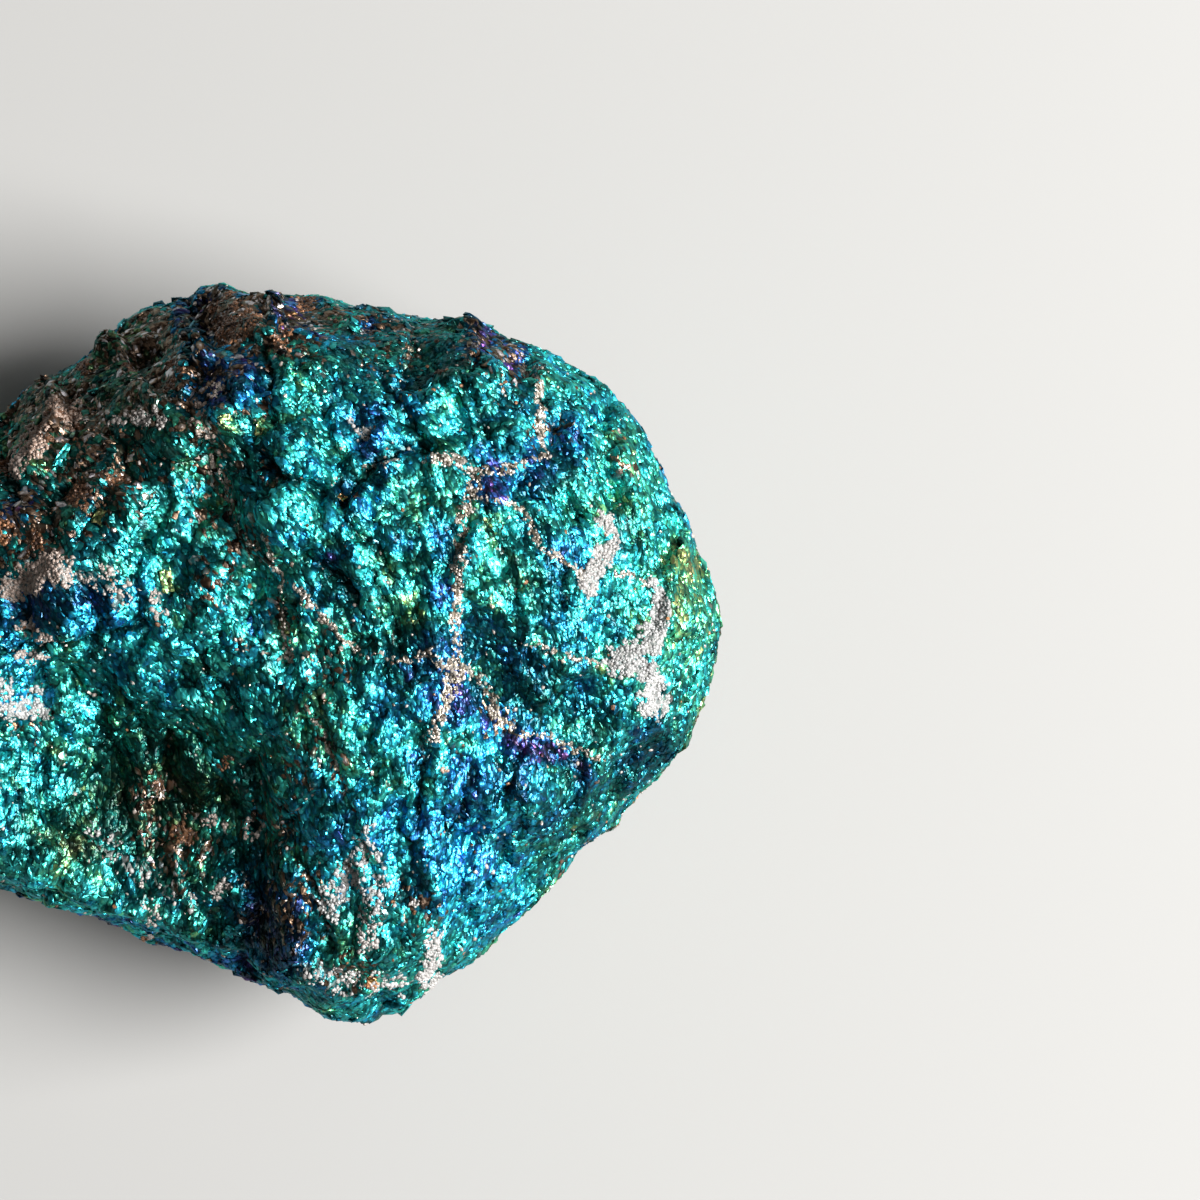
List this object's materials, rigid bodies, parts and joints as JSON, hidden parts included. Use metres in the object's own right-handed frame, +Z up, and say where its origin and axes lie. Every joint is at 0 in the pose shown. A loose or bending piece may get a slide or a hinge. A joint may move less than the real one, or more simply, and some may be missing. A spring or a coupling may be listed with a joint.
{
  "type": "peacock ore specimen",
  "caption": "Rough broken lump of tarnished chalcopyrite, blue-green and hackly, with pale veins, lying on its flattest side.",
  "frame": {"origin": "under the middle of the stone, on the plane that it rests on", "axes": "+X along the stone's length towards its broad end, +Y across it towards its dark upper edge, +Z up through its thickness, out of its broad face"},
  "size_m": [0.0474, 0.0368, 0.024],
  "materials": {
    "tarnished_ore": "metallic iridescent tarnish on a hackly broken surface, blue-green with violet and gold patches and a few rusty spots",
    "quartz": "sugary white to tan quartz crystals in thin veins and small patches"
  },
  "bodies": {
    "root": {"ore_stone": "tarnished_ore"}
  },
  "joints": []
}
